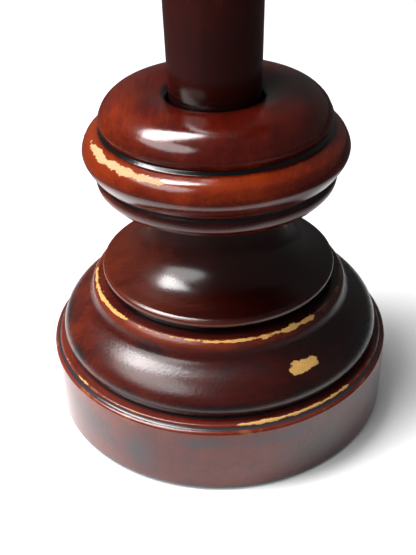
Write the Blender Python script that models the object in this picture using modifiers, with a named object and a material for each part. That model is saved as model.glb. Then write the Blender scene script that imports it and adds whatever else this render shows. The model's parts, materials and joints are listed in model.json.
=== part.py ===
"""Tilt top table: a turned pedestal on a round plinth, with a round top that tilts on two pins.

Sizes are in millimetres until a mesh is made. The origin is on the column's axis at the floor, +Z is up,
and -Y is the front, where the catch is. The top tilts about an axis along X behind the column.
"""

import math

import bmesh
import bpy
from mathutils import Matrix, Vector

MM = 0.001

# ---- Clearances ----
SEAM = 0.3                 # between pieces that rest on or fit round one another
SOCKET_GAP = 1.6           # dark gap between the column's foot and the knop's socket
SIDE_PLAY = 1.0            # between each bearer and the pivot block
LATCH_GAP = 1.6            # from the catch bolt's tip to its keep plate
KEEP_PLAY = 0.6            # round the bolt in the keep plate's opening
MORTISE_PLAY = 1.0         # round the bolt in the block's mortise
OVERSHOOT = 1.0            # how far a cutter runs past the face that it opens

# ---- Driving dimensions: the whole table ----
TABLE_HEIGHT = 620.0
TOP_RADIUS = 215.0
TOP_THICKNESS = 20.0
TOP_STEP_INSET = 10.0      # from the rim in to the small step round the flat of the top
TOP_STEP_DEPTH = 1.2
TOP_OVOLO_RADIUS = 9.0
TOP_CAVETTO_RADIUS = 6.0
PLINTH_RADIUS = 120.0

# ---- Foot ----
FELT_THICKNESS = 1.5
FELT_INSET = 4.0
PLINTH_THICKNESS = 51.7
PLINTH_ARRIS_INSET = 4.4   # from the plinth's side in to the arris on top
LEDGE_INSET = 8.1          # from the plinth's side in to the widest part of the ogee board
OGEE_THICKNESS = 43.5
OGEE_ARRIS_INSET = 26.3    # from the ogee board's widest part in to its upper arris
RIM_INSET = 5.2            # from that arris in to the edge of the dish
DISH_HEIGHT = 68.6         # from the dish's underside to the top of its neck
RIM_HEIGHT = 10.6          # from the dish's underside to the top of its rim
GROOVE_DEPTH = 3.4         # dark groove under the rim
NECK_RADIUS = 43.0
KNOP_RADIUS = 86.1
KNOP_HEIGHT = 63.5
KNOP_DOME_INSET = 11.7     # from the knop's widest part in to the side of its dome
SOCKET_DEPTH = 18.0

# ---- Column ----
SHAFT_FOOT_RADIUS = 29.3
SHAFT_BELLY_RADIUS = 32.2
SHAFT_WAIST_RADIUS = 19.2
SHAFT_RING_RADIUS = 24.5
SHAFT_CAP_RADIUS = 33.0
SHAFT_RING_ROUND = 4.2     # radius of the ring's own rounding
RING_RISE = 7.5            # from the waist up to the middle of the ring
CAP_THICKNESS = 7.0
WAIST_DROP = 36.0          # from the column's top down to its waist

# ---- Tie rod ----
ROD_RADIUS = 5.0
NUT_RADIUS = 9.8           # across the corners
NUT_HEIGHT = 8.0
WASHER_RADIUS = 12.0
WASHER_THICKNESS = 1.7
ROD_END = 2.5              # rod that stands past each nut
RECESS_MARGIN = 3.0        # round each washer, for a socket spanner
PLINTH_RECESS_DEPTH = 16.0
BLOCK_RECESS_DEPTH = 15.0

# ---- Pivot block, bearers and pins ----
BLOCK_WIDTH = 130.0
BLOCK_FRONT = 65.0         # from the column's axis to the block's front face
BLOCK_THICKNESS = 29.3
HINGE_SETBACK = 52.0       # from the column's axis back to the hinge axis
HINGE_DROP = 14.0          # from the top's underside down to the hinge axis
BEARER_WIDTH = 22.0
BEARER_DEPTH = 28.0
BEARER_END_MARGIN = 31.0   # from the bearer's end to the rim of the top
BEARER_END_CUT = 14.0      # sloped cut at each end of a bearer
BEARER_SCREW_MARGIN = 25.0
BEARER_MIDDLE_SCREW = -20.0
PIN_RADIUS = 4.0
PIN_REACH = 25.0           # pin inside the block
PIN_SETBACK = 1.0          # pin's end inside the bearer's outer face

# ---- Catch ----
PLATE_WIDTH = 60.0
PLATE_LENGTH = 56.0
PLATE_THICKNESS = 1.8
PLATE_SETBACK = 3.2        # from the keep's face to the plate's nearer edge
PLATE_SCREW_MARGIN = 6.0
CASE_WIDTH = 22.0
CASE_LENGTH = 46.0
CASE_HEIGHT = 11.9
CASE_SETBACK = 5.2         # from the keep's face to the case
CASE_WALL = 2.4
BOLT_WIDTH = 8.0
BOLT_HEIGHT = 6.0
BOLT_LENGTH = 35.6
BOLT_NOSE = 2.6            # bevel under the bolt's nose
BOLT_TRAVEL = 6.0
STEM_COVER = 1.0           # metal left in the bolt above the knob's stem
SPRING_TURNS = 6
SPRING_RADIUS = 2.6
WIRE_RADIUS = 0.4
KNOB_RADIUS = 7.5
KNOB_STEM_RADIUS = 2.0
KNOB_HEIGHT = 10.0
KNOB_DROP = 3.0            # from the case down to the knob's head
KNOB_FROM_TIP = 29.0       # along the bolt, from its tip to the knob's stem
KEEP_WIDTH = 34.0
KEEP_HEIGHT = 14.0
KEEP_THICKNESS = 1.5
KEEP_MORTISE = 8.0
KEEP_SCREW_SPREAD = 12.0

# ---- Screws: length, head radius, head height, shank radius ----
BEARER_BITE = 9.0          # bearer screw inside the top
BEARER_SCREW = (BEARER_DEPTH + BEARER_BITE, 4.2, 3.6, 2.1)
PLATE_SCREW = (11.0, 2.8, 1.5, 1.4)
KEEP_SCREW = (12.0, 2.5, 1.3, 1.2)
SLOT_WIDTH = 0.9
SLOT_DEPTH = 0.6

# ---- Roundness ----
WIDE_STEPS = 40
TOP_STEPS = 64
SHAFT_STEPS = 32
SMALL_STEPS = 16
SCREW_STEPS = 12

# ---- Heights and places that follow ----
PLINTH_BOTTOM = FELT_THICKNESS + SEAM
OGEE_BOTTOM = PLINTH_BOTTOM + PLINTH_THICKNESS + SEAM
DISH_BOTTOM = OGEE_BOTTOM + OGEE_THICKNESS + SEAM
KNOP_BOTTOM = DISH_BOTTOM + DISH_HEIGHT + SEAM
KNOP_TOP = KNOP_BOTTOM + KNOP_HEIGHT
SOCKET_FLOOR = KNOP_TOP - SOCKET_DEPTH
UNDERSIDE = TABLE_HEIGHT - TOP_THICKNESS
BLOCK_TOP = UNDERSIDE - SEAM
BLOCK_BOTTOM = BLOCK_TOP - BLOCK_THICKNESS
SHAFT_BOTTOM = SOCKET_FLOOR + SEAM
SHAFT_TOP = BLOCK_BOTTOM - SEAM
BORE_RADIUS = ROD_RADIUS + SEAM
OGEE_RADIUS = PLINTH_RADIUS - LEDGE_INSET
OGEE_ARRIS_RADIUS = OGEE_RADIUS - OGEE_ARRIS_INSET
RIM_RADIUS = OGEE_ARRIS_RADIUS - RIM_INSET
GROOVE_RADIUS = RIM_RADIUS - GROOVE_DEPTH
HINGE = Vector((0.0, HINGE_SETBACK, UNDERSIDE - HINGE_DROP))
BLOCK_BACK = HINGE_SETBACK + HINGE_DROP - SEAM
BEARER_INNER = BLOCK_WIDTH / 2 + SIDE_PLAY
BEARER_OUTER = BEARER_INNER + BEARER_WIDTH
BEARER_HALF = math.sqrt(TOP_RADIUS ** 2 - BEARER_OUTER ** 2) - BEARER_END_MARGIN
KEEP_FACE = -BLOCK_FRONT - SEAM - KEEP_THICKNESS
PLATE_TOP = UNDERSIDE - SEAM
CASE_TOP = PLATE_TOP - PLATE_THICKNESS - SEAM
CASE_BOTTOM = CASE_TOP - CASE_HEIGHT
BOLT_MIDDLE = (CASE_TOP + CASE_BOTTOM) / 2
BOLT_TIP = KEEP_FACE - LATCH_GAP
BOLT_END = BOLT_TIP - BOLT_LENGTH
STEM_PLACE = BOLT_TIP - KNOB_FROM_TIP
CASE_BACK = KEEP_FACE - CASE_SETBACK
CASE_FRONT = CASE_BACK - CASE_LENGTH
SIDES = (("left", (0.0, -math.pi / 2, 0.0)), ("right", (0.0, math.pi / 2, 0.0)))

WOOD = ((0.115, 0.017, 0.008), 0.16, 0.0)
DARK_WOOD = ((0.060, 0.014, 0.007), 0.42, 0.0)
BAIZE = ((0.012, 0.045, 0.022), 0.95, 0.0)
STEEL = ((0.42, 0.42, 0.43), 0.38, 1.0)
BRASS = ((0.72, 0.50, 0.20), 0.30, 1.0)


# ---- Making and placing ----

def finish(name, look):
    """Make the object's own material from a colour, a roughness and a metallic value."""
    colour, roughness, metallic = look
    material = bpy.data.materials.new(name + "_finish")
    material.use_nodes = True
    shader = material.node_tree.nodes["Principled BSDF"]
    shader.inputs["Base Color"].default_value = (*colour, 1.0)
    shader.inputs["Roughness"].default_value = roughness
    shader.inputs["Metallic"].default_value = metallic
    return material


def add_object(name, data, look=None, place=(0, 0, 0), turn=(0, 0, 0)):
    """Put mesh or curve data in the scene: a part if it has a look, a cutter if not."""
    thing = bpy.data.objects.new(name, data)
    thing.location = Vector(place) * MM
    thing.rotation_euler = turn
    if look is None:
        cutters.objects.link(thing)
        thing.hide_render = True
        thing.display_type = "WIRE"
    else:
        parts.objects.link(thing)
        data.materials.append(finish(name, look))
    return thing


def turned(name, profile, steps, look=None, place=(0, 0, 0), turn=(0, 0, 0)):
    """Turn a profile of (radius, height) about Z; it runs down its outer side, from the top."""
    closed = profile[0][0] > 0
    mesh = bpy.data.meshes.new(name)
    points = [(radius * MM, 0.0, height * MM) for radius, height in profile]
    edges = [(i, i + 1) for i in range(len(points) - 1)]
    if closed:
        edges.append((len(points) - 1, 0))
    mesh.from_pydata(points, edges, [])
    thing = add_object(name, mesh, look, place, turn)
    screw = thing.modifiers.new("turning", "SCREW")
    screw.axis = "Z"
    screw.angle = math.tau
    screw.steps = steps
    screw.render_steps = steps
    screw.use_merge_vertices = True
    screw.merge_threshold = 0.00001
    screw.use_smooth_shade = True
    return thing


def box(name, low, high, look=None, rounded=()):
    """Make a box from its two corners; each rounding is (edge test, width, segments)."""
    low, high = Vector(low), Vector(high)
    middle, size = (low + high) / 2, high - low
    bm = bmesh.new()
    bmesh.ops.create_cube(bm, size=1.0, matrix=Matrix.Diagonal((*(size * MM), 1.0)))
    for test, width, segments in rounded:
        edges = [edge for edge in bm.edges if test((edge.verts[0].co + edge.verts[1].co) / 2 / MM)]
        bmesh.ops.bevel(bm, geom=edges, offset=width * MM, segments=segments, profile=0.5,
                        affect="EDGES", clamp_overlap=True)
    mesh = bpy.data.meshes.new(name)
    bm.to_mesh(mesh)
    bm.free()
    return add_object(name, mesh, look, middle)


def cut(thing, *cutting):
    """Take each cutter away from a part."""
    for cutter in cutting:
        boolean = thing.modifiers.new(cutter.name, "BOOLEAN")
        boolean.operation = "DIFFERENCE"
        boolean.solver = "EXACT"
        boolean.object = cutter


def hang_on(parent, *children):
    """Parent placed objects to an empty without moving them."""
    for child in children:
        child.parent = parent
        child.matrix_parent_inverse = Matrix.Translation(parent.location).inverted()


def pivot(name, place):
    """Add the empty that marks where a group of pieces moves from."""
    empty = bpy.data.objects.new(name, None)
    empty.location = Vector(place) * MM
    parts.objects.link(empty)
    return empty


# ---- Outlines ----

def smooth(points, pieces=2):
    """Run a smooth curve through points, with this many pieces in each span."""
    ends = [points[0], *points, points[-1]]
    curve = [points[0]]
    for before, start, stop, after in zip(ends, ends[1:], ends[2:], ends[3:]):
        for i in range(1, pieces + 1):
            t = i / pieces
            curve.append(tuple(
                0.5 * (2 * b + (c - a) * t + (2 * a - 5 * b + 4 * c - d) * t ** 2
                       + (3 * b - a - 3 * c + d) * t ** 3)
                for a, b, c, d in zip(before, start, stop, after)))
    return curve


def arc(centre, radius, start, stop, pieces):
    """Give the points of an arc in the (radius, height) plane, with its angles in degrees."""
    angles = [math.radians(start + (stop - start) * i / pieces) for i in range(pieces + 1)]
    return [(centre[0] + radius * math.cos(a), centre[1] + radius * math.sin(a)) for a in angles]


def up_from(radius, height, offsets):
    """Turn (inset, rise) pairs, listed from the bottom up, into a profile from the top down."""
    return [(radius - inset, height + rise) for inset, rise in reversed(offsets)]


def screw_outline(sizes, grow=0.0):
    """Outline of a countersunk screw whose head lies at 0 and whose point is up, or of its hole."""
    length, head_radius, head_height, shank_radius = sizes
    taper = 3 * shank_radius
    outline = [(0.0, length + grow), (shank_radius + grow, length - taper),
               (shank_radius + grow, head_height), (head_radius + grow, grow)]
    if grow:
        outline.append((head_radius + grow, -head_height))
        outline.append((0.0, -head_height))
    else:
        outline.append((0.0, 0.0))
    return outline


def add_screw(name, sizes, place, turn=(0, 0, 0)):
    """Add one slotted screw and the cutter for its hole."""
    screw = turned(name, screw_outline(sizes), SCREW_STEPS, BRASS, place, turn)
    slot_reach = sizes[1] + SEAM
    slot = box(name + "_slot", (-slot_reach, -SLOT_WIDTH / 2, -SLOT_DEPTH),
               (slot_reach, SLOT_WIDTH / 2, SLOT_DEPTH))
    slot.location = screw.location
    slot.rotation_euler = turn
    cut(screw, slot)
    hole = turned(name + "_hole", screw_outline(sizes, SEAM), SCREW_STEPS, None, place, turn)
    return screw, hole


# ---- Foot ----

def make_felt():
    """Baize disc that the table stands on."""
    radius = PLINTH_RADIUS - FELT_INSET
    turned("base_felt", [(0.0, FELT_THICKNESS), (radius, FELT_THICKNESS), (radius, 0.0), (0.0, 0.0)],
           WIDE_STEPS, BAIZE)


def make_plinth():
    """Thick round board with a stepped top edge and a recess below for the tie rod's nut."""
    top = PLINTH_BOTTOM + PLINTH_THICKNESS
    recess_radius = WASHER_RADIUS + RECESS_MARGIN
    recess_top = PLINTH_BOTTOM + PLINTH_RECESS_DEPTH
    edge = up_from(PLINTH_RADIUS, top, [(0.0, -4.1), (0.8, -2.9), (3.0, -2.3), (3.8, -1.5),
                                        (PLINTH_ARRIS_INSET, 0.0)])
    foot = [(PLINTH_RADIUS, PLINTH_BOTTOM + 0.8), (PLINTH_RADIUS - 0.8, PLINTH_BOTTOM)]
    inside = [(recess_radius, PLINTH_BOTTOM), (recess_radius, recess_top),
              (BORE_RADIUS, recess_top), (BORE_RADIUS, top)]
    turned("plinth", edge + foot + inside, WIDE_STEPS, WOOD)


def make_base_ogee():
    """Second board: a torus, a cove and a sharp upper arris."""
    bottom, top = OGEE_BOTTOM, OGEE_BOTTOM + OGEE_THICKNESS
    offsets = [(2.1, 1.0), (0.0, 7.7), (2.7, 15.0), (9.3, 22.2), (18.3, 28.4), (21.5, 32.6),
               (23.5, 39.6), (OGEE_ARRIS_INSET, OGEE_THICKNESS - 0.2)]
    outer = smooth(up_from(OGEE_RADIUS, bottom, offsets))
    outline = [(GROOVE_RADIUS, top), *outer, (OGEE_RADIUS - 3.0, bottom), (BORE_RADIUS, bottom),
               (BORE_RADIUS, top)]
    turned("base_ogee", outline, WIDE_STEPS, WOOD)


def make_dish_neck():
    """Thin rim over a groove, with a shallow dish that sweeps up into the neck."""
    bottom, top = DISH_BOTTOM, DISH_BOTTOM + DISH_HEIGHT
    lip = RIM_RADIUS - 2.2
    rise = DISH_HEIGHT - RIM_HEIGHT
    sweep = [(0.0, 0.0), (0.233, 0.040), (0.517, 0.117), (0.773, 0.255), (0.915, 0.428),
             (1.0, 0.652), (1.0, 0.859), (0.93, 1.0)]
    neck = smooth([(lip + (NECK_RADIUS - lip) * across, bottom + RIM_HEIGHT + rise * up)
                   for across, up in reversed(sweep)])
    edge = [(RIM_RADIUS - 0.4, bottom + 9.4), (RIM_RADIUS, bottom + 7.4),
            (RIM_RADIUS - 0.3, bottom + 5.6), (RIM_RADIUS - 1.8, bottom + 4.2)]
    groove = [(GROOVE_RADIUS, bottom + 3.6), (GROOVE_RADIUS - 0.2, bottom)]
    turned("dish_neck", neck + edge + groove + [(BORE_RADIUS, bottom), (BORE_RADIUS, top)],
           WIDE_STEPS, WOOD)


def make_knop():
    """Fat turning: a small ovolo, the main torus, and a dome with a socket for the column."""
    bottom = KNOP_BOTTOM
    socket = SHAFT_FOOT_RADIUS + SOCKET_GAP
    shoulder = KNOP_RADIUS - KNOP_DOME_INSET
    dome = smooth([(socket + 2.2, KNOP_TOP - 3.4), (socket + 9.0, KNOP_TOP - 1.2),
                   (socket + 18.0, KNOP_TOP), (shoulder - 12.5, KNOP_TOP - 2.1),
                   (shoulder - 4.4, KNOP_TOP - 7.8), (shoulder - 0.5, KNOP_TOP - 14.5),
                   (shoulder, KNOP_TOP - 18.2), (shoulder - 1.6, KNOP_TOP - 22.4)])
    torus = smooth(up_from(KNOP_RADIUS, bottom, [(6.6, 14.0), (3.7, 17.7), (0.4, 24.0), (0.2, 28.9),
                                                 (3.5, 35.5), (11.5, 39.3)]))
    ovolo = smooth(up_from(KNOP_RADIUS, bottom, [(10.6, 0.4), (7.8, 4.2), (7.0, 9.4), (8.2, 12.6)]))
    inside = [(BORE_RADIUS, bottom), (BORE_RADIUS, SOCKET_FLOOR), (socket, SOCKET_FLOOR),
              (socket, KNOP_TOP - 6.0)]
    turned("knop", dome + torus + ovolo + inside, WIDE_STEPS, WOOD)


# ---- Column ----

def make_shaft():
    """Column: a foot that widens slowly to a belly, a waist, a ring and a cap."""
    waist = SHAFT_TOP - WAIST_DROP
    length = waist - KNOP_TOP
    cap_bottom = SHAFT_TOP - CAP_THICKNESS
    cap = [(SHAFT_CAP_RADIUS - 1.0, SHAFT_TOP), (SHAFT_CAP_RADIUS, SHAFT_TOP - 1.0),
           (SHAFT_CAP_RADIUS, cap_bottom + 1.0), (SHAFT_CAP_RADIUS - 1.0, cap_bottom)]
    hollow = smooth([(SHAFT_CAP_RADIUS - 2.0, cap_bottom - 0.8),
                     (SHAFT_WAIST_RADIUS + 5.0, cap_bottom - 6.0),
                     (SHAFT_WAIST_RADIUS + 1.0, cap_bottom - 14.5)])
    ring = arc((SHAFT_RING_RADIUS - SHAFT_RING_ROUND, waist + RING_RISE), SHAFT_RING_ROUND, 75, -75, 6)
    vase = smooth([(SHAFT_WAIST_RADIUS, waist), (SHAFT_WAIST_RADIUS + 2.2, waist - 16.0),
                   (SHAFT_BELLY_RADIUS - 4.0, waist - 54.0),
                   (SHAFT_BELLY_RADIUS, KNOP_TOP + 0.60 * length),
                   (SHAFT_FOOT_RADIUS + 1.2, KNOP_TOP + 0.23 * length),
                   (SHAFT_FOOT_RADIUS, KNOP_TOP - 8.0)])
    foot = [(SHAFT_FOOT_RADIUS, SHAFT_BOTTOM + 0.8), (SHAFT_FOOT_RADIUS - 0.8, SHAFT_BOTTOM)]
    inside = [(BORE_RADIUS, SHAFT_BOTTOM), (BORE_RADIUS, SHAFT_TOP)]
    turned("shaft", cap + hollow + ring + vase + foot + inside, SHAFT_STEPS, WOOD)


def make_tie_rod():
    """Threaded rod through the whole pedestal, with a nut and a washer in a recess at each end."""
    washer_top = PLINTH_BOTTOM + PLINTH_RECESS_DEPTH - SEAM
    nut_top = washer_top - WASHER_THICKNESS - SEAM
    upper_washer = BLOCK_TOP - BLOCK_RECESS_DEPTH + SEAM
    upper_nut = upper_washer + WASHER_THICKNESS + SEAM
    rod_bottom = nut_top - NUT_HEIGHT - ROD_END
    rod_top = upper_nut + NUT_HEIGHT + ROD_END
    turned("tie_rod", [(0.0, rod_top), (ROD_RADIUS - 0.6, rod_top), (ROD_RADIUS, rod_top - 0.6),
                       (ROD_RADIUS, rod_bottom + 0.6), (ROD_RADIUS - 0.6, rod_bottom),
                       (0.0, rod_bottom)], SMALL_STEPS, STEEL)
    for side, washer, nut in (("bottom", washer_top - WASHER_THICKNESS, nut_top - NUT_HEIGHT),
                              ("top", upper_washer, upper_nut)):
        washer_rim = washer + WASHER_THICKNESS
        turned("rod_washer_" + side, [(WASHER_RADIUS, washer_rim), (WASHER_RADIUS, washer),
                                      (BORE_RADIUS, washer), (BORE_RADIUS, washer_rim)],
               SMALL_STEPS, STEEL)
        make_nut("rod_nut_" + side, nut)


def make_nut(name, bottom):
    """Hexagon nut: a six-sided prism, drilled for the rod."""
    bm = bmesh.new()
    bmesh.ops.create_cone(bm, cap_ends=True, segments=6, radius1=NUT_RADIUS * MM,
                          radius2=NUT_RADIUS * MM, depth=NUT_HEIGHT * MM)
    mesh = bpy.data.meshes.new(name)
    bm.to_mesh(mesh)
    bm.free()
    nut = add_object(name, mesh, STEEL, (0.0, 0.0, bottom + NUT_HEIGHT / 2))
    reach = NUT_HEIGHT + OVERSHOOT
    hole = turned(name + "_hole", [(0.0, reach), (BORE_RADIUS, reach), (BORE_RADIUS, -OVERSHOOT),
                                   (0.0, -OVERSHOOT)], SMALL_STEPS, None, (0.0, 0.0, bottom))
    cut(nut, hole)


# ---- Pivot block ----

def pin_outline(radius, inner, outer):
    """Outline of a pin or its hole, which runs out from inner to outer along its own Z."""
    return [(0.0, outer), (radius, outer), (radius, inner), (0.0, inner)]


def make_pivot_block():
    """Square block on the column; its upper back edge is round about the hinge axis."""
    half = BLOCK_WIDTH / 2
    middle = Vector((0.0, (BLOCK_BACK - BLOCK_FRONT) / 2, (BLOCK_TOP + BLOCK_BOTTOM) / 2))
    back_round = BLOCK_BACK - HINGE_SETBACK

    def upper_back(place):
        return place.y + middle.y > BLOCK_BACK - 0.1 and place.z + middle.z > BLOCK_TOP - 0.1

    def lower_edges(place):
        return place.z + middle.z < BLOCK_BOTTOM + 0.1

    block = box("pivot_block", (-half, -BLOCK_FRONT, BLOCK_BOTTOM), (half, BLOCK_BACK, BLOCK_TOP),
                DARK_WOOD, [(upper_back, back_round, 8), (lower_edges, 4.0, 3)])
    recess_floor = BLOCK_TOP - BLOCK_RECESS_DEPTH
    recess = WASHER_RADIUS + RECESS_MARGIN
    above, below = BLOCK_TOP + OVERSHOOT, BLOCK_BOTTOM - OVERSHOOT
    bore = turned("block_bore", [(0.0, above), (recess, above), (recess, recess_floor),
                                 (BORE_RADIUS, recess_floor), (BORE_RADIUS, below), (0.0, below)],
                  SMALL_STEPS)
    hole = pin_outline(PIN_RADIUS + SEAM, half - PIN_REACH - SEAM, half + OVERSHOOT)
    pin_holes = [turned("block_pin_hole_" + side, hole, SMALL_STEPS, None, HINGE, turn)
                 for side, turn in SIDES]
    across = BOLT_WIDTH / 2 + MORTISE_PLAY
    upward = BOLT_HEIGHT / 2 + MORTISE_PLAY
    mortise = box("keep_mortise", (-across, -BLOCK_FRONT - OVERSHOOT, BOLT_MIDDLE - upward),
                  (across, -BLOCK_FRONT + KEEP_MORTISE, BOLT_MIDDLE + upward))
    cut(block, bore, *pin_holes, mortise)
    return block


def make_keep(block):
    """Brass keep plate on the block's front face, with its two screws."""
    half = KEEP_WIDTH / 2
    low = (-half, KEEP_FACE, BOLT_MIDDLE - KEEP_HEIGHT / 2)
    high = (half, KEEP_FACE + KEEP_THICKNESS, BOLT_MIDDLE + KEEP_HEIGHT / 2)

    def corners(place):
        return abs(place.x) > half - 0.1 and abs(place.z) > KEEP_HEIGHT / 2 - 0.1

    keep = box("catch_keep", low, high, BRASS, [(corners, 2.0, 2)])
    across = BOLT_WIDTH / 2 + KEEP_PLAY
    upward = BOLT_HEIGHT / 2 + KEEP_PLAY
    opening = box("keep_opening", (-across, KEEP_FACE - OVERSHOOT, BOLT_MIDDLE - upward),
                  (across, -BLOCK_FRONT, BOLT_MIDDLE + upward))
    cut(keep, opening)
    for number, side in enumerate((-1, 1), 1):
        place = (side * KEEP_SCREW_SPREAD, KEEP_FACE, BOLT_MIDDLE)
        _, hole = add_screw(f"keep_screw_{number}", KEEP_SCREW, place, (-math.pi / 2, 0.0, 0.0))
        cut(keep, hole)
        cut(block, hole)


# ---- Top and bearers ----

def make_table_top():
    """Round top: a fillet and an ovolo above, and a small cavetto below."""
    top, rim = TABLE_HEIGHT, TOP_RADIUS
    step = rim - TOP_STEP_INSET
    ovolo_middle = (rim - TOP_OVOLO_RADIUS, top - TOP_STEP_DEPTH - TOP_OVOLO_RADIUS)
    ovolo = arc(ovolo_middle, TOP_OVOLO_RADIUS, 90, 0, 5)
    cavetto = arc((rim, UNDERSIDE), TOP_CAVETTO_RADIUS, 90, 180, 3)
    outline = [(0.0, top), (step - 0.6, top), (step, top - 0.6), (step, top - TOP_STEP_DEPTH),
               *ovolo, *cavetto, (0.0, UNDERSIDE)]
    return turned("table_top", outline, TOP_STEPS, WOOD)


def make_bearers(table_top):
    """Two bearers, their pivot pins and the screws that hold them to the top."""
    moving = []
    for (side, turn), sign in zip(SIDES, (-1, 1)):
        near, far = sorted((sign * BEARER_INNER, sign * BEARER_OUTER))

        def lower_ends(place):
            return abs(place.y) > BEARER_HALF - 0.1 and place.z < 0.1 - BEARER_DEPTH / 2

        def lower_sides(place):
            return place.z < 0.1 - BEARER_DEPTH / 2 and abs(abs(place.x) - BEARER_WIDTH / 2) < 0.1

        bearer = box("bearer_" + side, (near, -BEARER_HALF, BLOCK_TOP - BEARER_DEPTH),
                     (far, BEARER_HALF, BLOCK_TOP), DARK_WOOD,
                     [(lower_ends, BEARER_END_CUT, 1), (lower_sides, 1.5, 2)])
        hole = pin_outline(PIN_RADIUS + SEAM, BEARER_INNER - OVERSHOOT, BEARER_OUTER + OVERSHOOT)
        cut(bearer, turned("bearer_pin_hole_" + side, hole, SMALL_STEPS, None, HINGE, turn))
        body = pin_outline(PIN_RADIUS, BLOCK_WIDTH / 2 - PIN_REACH, BEARER_OUTER - PIN_SETBACK)
        pin = turned("pivot_pin_" + side, body, SMALL_STEPS, STEEL, HINGE, turn)
        moving += [bearer, pin]
        end_screw = BEARER_HALF - BEARER_SCREW_MARGIN
        for number, along in enumerate((-end_screw, BEARER_MIDDLE_SCREW, end_screw), 1):
            place = ((near + far) / 2, along, BLOCK_TOP - BEARER_DEPTH)
            screw, hole = add_screw(f"bearer_screw_{side}_{number}", BEARER_SCREW, place)
            cut(bearer, hole)
            cut(table_top, hole)
            moving.append(screw)
    return moving


# ---- Catch ----

def make_catch(table_top):
    """Spring catch under the top's front half: plate, case, bolt, spring and knob."""
    half = PLATE_WIDTH / 2
    plate_back = KEEP_FACE - PLATE_SETBACK
    plate_front = plate_back - PLATE_LENGTH

    def corners(place):
        return abs(place.x) > half - 0.1 and abs(place.y) > PLATE_LENGTH / 2 - 0.1

    plate = box("catch_plate", (-half, plate_front, PLATE_TOP - PLATE_THICKNESS),
                (half, plate_back, PLATE_TOP), BRASS, [(corners, 3.0, 3)])
    fixed = [plate]
    spots = [(x, y) for y in (plate_back - PLATE_SCREW_MARGIN, plate_front + PLATE_SCREW_MARGIN)
             for x in (PLATE_SCREW_MARGIN - half, half - PLATE_SCREW_MARGIN)]
    for number, (x, y) in enumerate(spots, 1):
        place = (x, y, PLATE_TOP - PLATE_THICKNESS)
        screw, hole = add_screw(f"catch_screw_{number}", PLATE_SCREW, place)
        cut(plate, hole)
        cut(table_top, hole)
        fixed.append(screw)
    fixed.append(make_catch_case())
    fixed.append(make_catch_spring())
    return fixed


def make_catch_case():
    """Case: a box with a blind channel for the bolt and a slot below for the knob's stem."""
    half = CASE_WIDTH / 2

    def lower_edges(place):
        return place.z < 0.1 - CASE_HEIGHT / 2

    case = box("catch_case", (-half, CASE_FRONT, CASE_BOTTOM), (half, CASE_BACK, CASE_TOP), BRASS,
               [(lower_edges, 2.0, 2)])
    channel_half = BOLT_WIDTH / 2 + SEAM
    channel = box("case_channel",
                  (-channel_half, CASE_FRONT + CASE_WALL, BOLT_MIDDLE - BOLT_HEIGHT / 2 - SEAM),
                  (channel_half, CASE_BACK + OVERSHOOT, BOLT_MIDDLE + BOLT_HEIGHT / 2 + SEAM))
    slot_half = KNOB_STEM_RADIUS + SEAM
    slot = box("case_slot",
               (-slot_half, STEM_PLACE - BOLT_TRAVEL - slot_half, CASE_BOTTOM - OVERSHOOT),
               (slot_half, STEM_PLACE + slot_half, BOLT_MIDDLE))
    cut(case, channel, slot)
    return case


def make_catch_spring():
    """Coil spring between the channel's blind end and the bolt."""
    start = CASE_FRONT + CASE_WALL + SEAM + WIRE_RADIUS
    stop = BOLT_END - SEAM - WIRE_RADIUS
    per_turn = 10
    count = SPRING_TURNS * per_turn + 1
    curve = bpy.data.curves.new("catch_spring", "CURVE")
    curve.dimensions = "3D"
    curve.bevel_depth = WIRE_RADIUS * MM
    curve.bevel_resolution = 1
    curve.use_fill_caps = True
    line = curve.splines.new("POLY")
    line.points.add(count - 1)
    for i, point in enumerate(line.points):
        angle = math.tau * i / per_turn
        along = start + (stop - start) * i / (count - 1)
        point.co = (SPRING_RADIUS * math.cos(angle) * MM, along * MM,
                    (BOLT_MIDDLE + SPRING_RADIUS * math.sin(angle)) * MM, 1.0)
    return add_object("catch_spring", curve, STEEL)


def make_catch_bolt():
    """Bolt with a bevelled nose, and the knob that draws it back."""
    half = BOLT_WIDTH / 2

    def under_nose(place):
        return place.y > BOLT_LENGTH / 2 - 0.1 and place.z < 0.1 - BOLT_HEIGHT / 2

    bolt = box("catch_bolt", (-half, BOLT_END, BOLT_MIDDLE - BOLT_HEIGHT / 2),
               (half, BOLT_TIP, BOLT_MIDDLE + BOLT_HEIGHT / 2), BRASS, [(under_nose, BOLT_NOSE, 1)])
    stem_top = BOLT_MIDDLE + BOLT_HEIGHT / 2 - STEM_COVER
    head_top = CASE_BOTTOM - KNOB_DROP
    hole = pin_outline(KNOB_STEM_RADIUS + SEAM, CASE_BOTTOM - OVERSHOOT, stem_top + SEAM)
    stem_hole = turned("bolt_stem_hole", hole, SMALL_STEPS, None, (0.0, STEM_PLACE, 0.0))
    cut(bolt, stem_hole)
    head = [(KNOB_STEM_RADIUS, head_top), (KNOB_RADIUS - 2.0, head_top),
            *arc((KNOB_RADIUS - 2.0, head_top - 3.0), 2.0, 70, -50, 3),
            (KNOB_STEM_RADIUS + 1.0, head_top - KNOB_HEIGHT), (0.0, head_top - KNOB_HEIGHT)]
    knob = turned("catch_knob", [(0.0, stem_top), (KNOB_STEM_RADIUS, stem_top), *head], SMALL_STEPS,
                  BRASS, (0.0, STEM_PLACE, 0.0))
    return [bolt, knob]


# ---- The table ----

for old in list(bpy.data.objects):
    bpy.data.objects.remove(old, do_unlink=True)

parts = bpy.data.collections.new("tilt_top_table")
cutters = bpy.data.collections.new("cutters")
bpy.context.scene.collection.children.link(parts)
bpy.context.scene.collection.children.link(cutters)

make_felt()
make_plinth()
make_base_ogee()
make_dish_neck()
make_knop()
make_shaft()
make_tie_rod()
pivot_block = make_pivot_block()
make_keep(pivot_block)

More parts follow.
